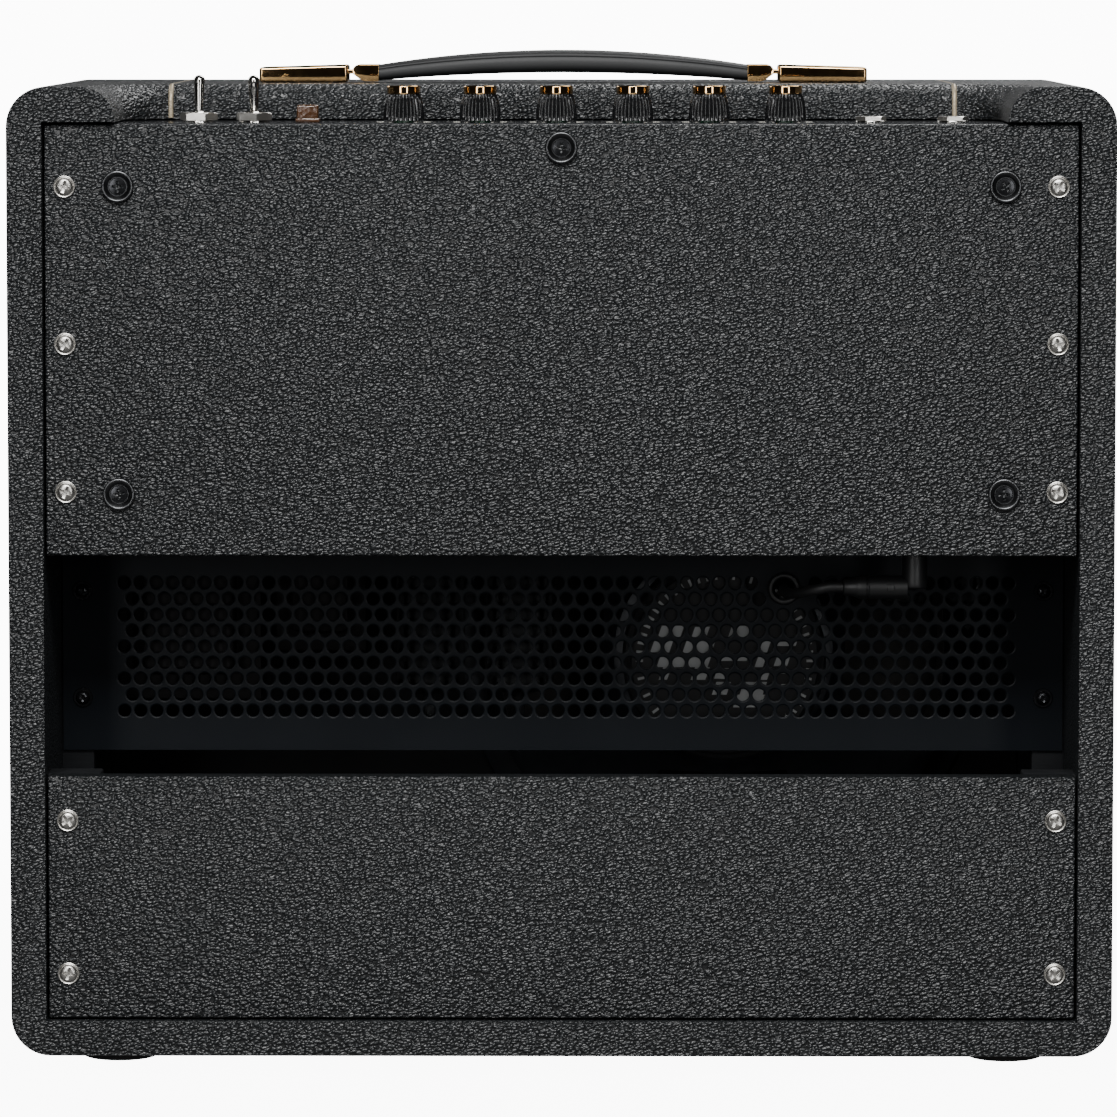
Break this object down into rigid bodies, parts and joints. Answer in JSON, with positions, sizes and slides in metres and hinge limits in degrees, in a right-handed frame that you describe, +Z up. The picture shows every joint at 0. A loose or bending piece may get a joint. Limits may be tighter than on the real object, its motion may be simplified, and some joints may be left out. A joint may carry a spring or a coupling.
{
  "type": "guitar combo amplifier",
  "caption": "Open-backed guitar combo amplifier with a top-mounted control recess, perforated valve guard, loudspeaker and strap handle.",
  "frame": {"origin": "under the middle of the cabinet, on the plane its feet stand on", "axes": "+Z up, +X to the right seen from the loudspeaker's side, -Y the way the loudspeaker fires, +Y out of the open back"},
  "size_m": [0.5, 0.24, 0.4654],
  "materials": {
    "vinyl_covering": "matt leather-grain vinyl cloth glued over plywood",
    "black_board": "matt black paint on plywood",
    "grille_fabric": "woven grille cloth",
    "black_rubber": "matt rubber",
    "handle_moulding": "satin moulded vinyl",
    "gold_plate": "polished gold plate",
    "zinc_steel": "zinc-plated folded sheet",
    "black_enamel": "gloss black enamel",
    "circuit_board": "solder-masked board",
    "knob_moulding": "moulded black with a gold rim",
    "bright_nickel": "bright nickel plate",
    "amber_lens": "translucent amber",
    "moulded_black": "moulded black plastic",
    "iron_core": "varnished laminations and winding",
    "valve_glass": "clear glass envelope",
    "paper_cone": "pressed paper",
    "magnet_steel": "plated steel and ferrite",
    "black_steel": "satin black powder coat",
    "nickel_screw": "bright nickel plate"
  },
  "bodies": {
    "cabinet": {"baffle_board": "black_board", "cabinet_shell": "vinyl_covering", "chassis_screw_lower_left": "black_steel", "chassis_screw_lower_right": "black_steel", "chassis_screw_middle": "black_steel", "chassis_screw_upper_left": "black_steel", "chassis_screw_upper_right": "black_steel", "chassis_tray": "zinc_steel", "control_board": "circuit_board", "control_panel": "black_enamel", "foot_front_left": "black_rubber", "foot_front_right": "black_rubber", "foot_rear_left": "black_rubber", "foot_rear_right": "black_rubber", "grille_cloth": "grille_fabric", "grille_frame": "black_board", "guard_plate": "black_steel", "handle_cap_left": "gold_plate", "handle_cap_right": "gold_plate", "input_jacks": "moulded_black", "lower_back_panel": "vinyl_covering", "mains_inlet": "moulded_black", "mains_transformer": "iron_core", "output_jacks": "moulded_black", "output_transformer": "iron_core", "pilot_lamp": "amber_lens", "power_valve_1": "valve_glass", "power_valve_2": "valve_glass", "preamp_valve_1": "valve_glass", "preamp_valve_2": "valve_glass", "screw_lower_bottom_left": "nickel_screw", "screw_lower_bottom_right": "nickel_screw", "screw_lower_top_left": "nickel_screw", "screw_lower_top_right": "nickel_screw", "screw_upper_bottom_left": "nickel_screw", "screw_upper_bottom_right": "nickel_screw", "screw_upper_middle_left": "nickel_screw", "screw_upper_middle_right": "nickel_screw", "screw_upper_top_left": "nickel_screw", "screw_upper_top_right": "nickel_screw", "speaker_frame": "black_steel", "speaker_lead": "black_rubber", "speaker_magnet": "magnet_steel", "speaker_plug": "moulded_black", "switch_body_1": "bright_nickel", "switch_body_2": "bright_nickel", "upper_back_panel": "vinyl_covering", "valve_board": "circuit_board"},
    "carry_handle": {"handle_end_left": "gold_plate", "handle_end_right": "gold_plate", "handle_strap": "handle_moulding"},
    "knob_1": {"knob_1": "knob_moulding"},
    "knob_2": {"knob_2": "knob_moulding"},
    "knob_3": {"knob_3": "knob_moulding"},
    "knob_4": {"knob_4": "knob_moulding"},
    "knob_5": {"knob_5": "knob_moulding"},
    "knob_6": {"knob_6": "knob_moulding"},
    "speaker_cone": {"speaker_cone": "paper_cone"},
    "switch_lever_1": {"switch_lever_1": "bright_nickel"},
    "switch_lever_2": {"switch_lever_2": "bright_nickel"}
  },
  "joints": [
    {"name": "knob_1_turn", "type": "hinge", "parent": "cabinet", "child": "knob_1", "pos_m": [0.0721, 0.08, 0.4341], "axis": [0, 0, 1], "range_deg": [-150, 150]},
    {"name": "knob_2_turn", "type": "hinge", "parent": "cabinet", "child": "knob_2", "pos_m": [0.0373, 0.08, 0.4341], "axis": [0, 0, 1], "range_deg": [-150, 150]},
    {"name": "knob_3_turn", "type": "hinge", "parent": "cabinet", "child": "knob_3", "pos_m": [0.0025, 0.08, 0.4341], "axis": [0, 0, 1], "range_deg": [-150, 150]},
    {"name": "knob_4_turn", "type": "hinge", "parent": "cabinet", "child": "knob_4", "pos_m": [-0.0323, 0.08, 0.4341], "axis": [0, 0, 1], "range_deg": [-150, 150]},
    {"name": "knob_5_turn", "type": "hinge", "parent": "cabinet", "child": "knob_5", "pos_m": [-0.0671, 0.08, 0.4341], "axis": [0, 0, 1], "range_deg": [-150, 150]},
    {"name": "knob_6_turn", "type": "hinge", "parent": "cabinet", "child": "knob_6", "pos_m": [-0.1019, 0.08, 0.4341], "axis": [0, 0, 1], "range_deg": [-150, 150]},
    {"name": "switch_1_throw", "type": "hinge", "parent": "cabinet", "child": "switch_lever_1", "pos_m": [0.1655, 0.08, 0.4361], "axis": [1, 0, 0], "range_deg": [-24, 0]},
    {"name": "switch_2_throw", "type": "hinge", "parent": "cabinet", "child": "switch_lever_2", "pos_m": [0.1403, 0.08, 0.4361], "axis": [1, 0, 0], "range_deg": [0, 24]},
    {"name": "cone_travel", "type": "slide", "parent": "cabinet", "child": "speaker_cone", "axis": [0, 1, 0], "range_m": [-0.003, 0.003], "stiffness_N_per_m": 3000},
    {"name": "handle_slide", "type": "slide", "parent": "cabinet", "child": "carry_handle", "axis": [1, 0, 0], "range_m": [-0.0015, 0.0015]}
  ]
}
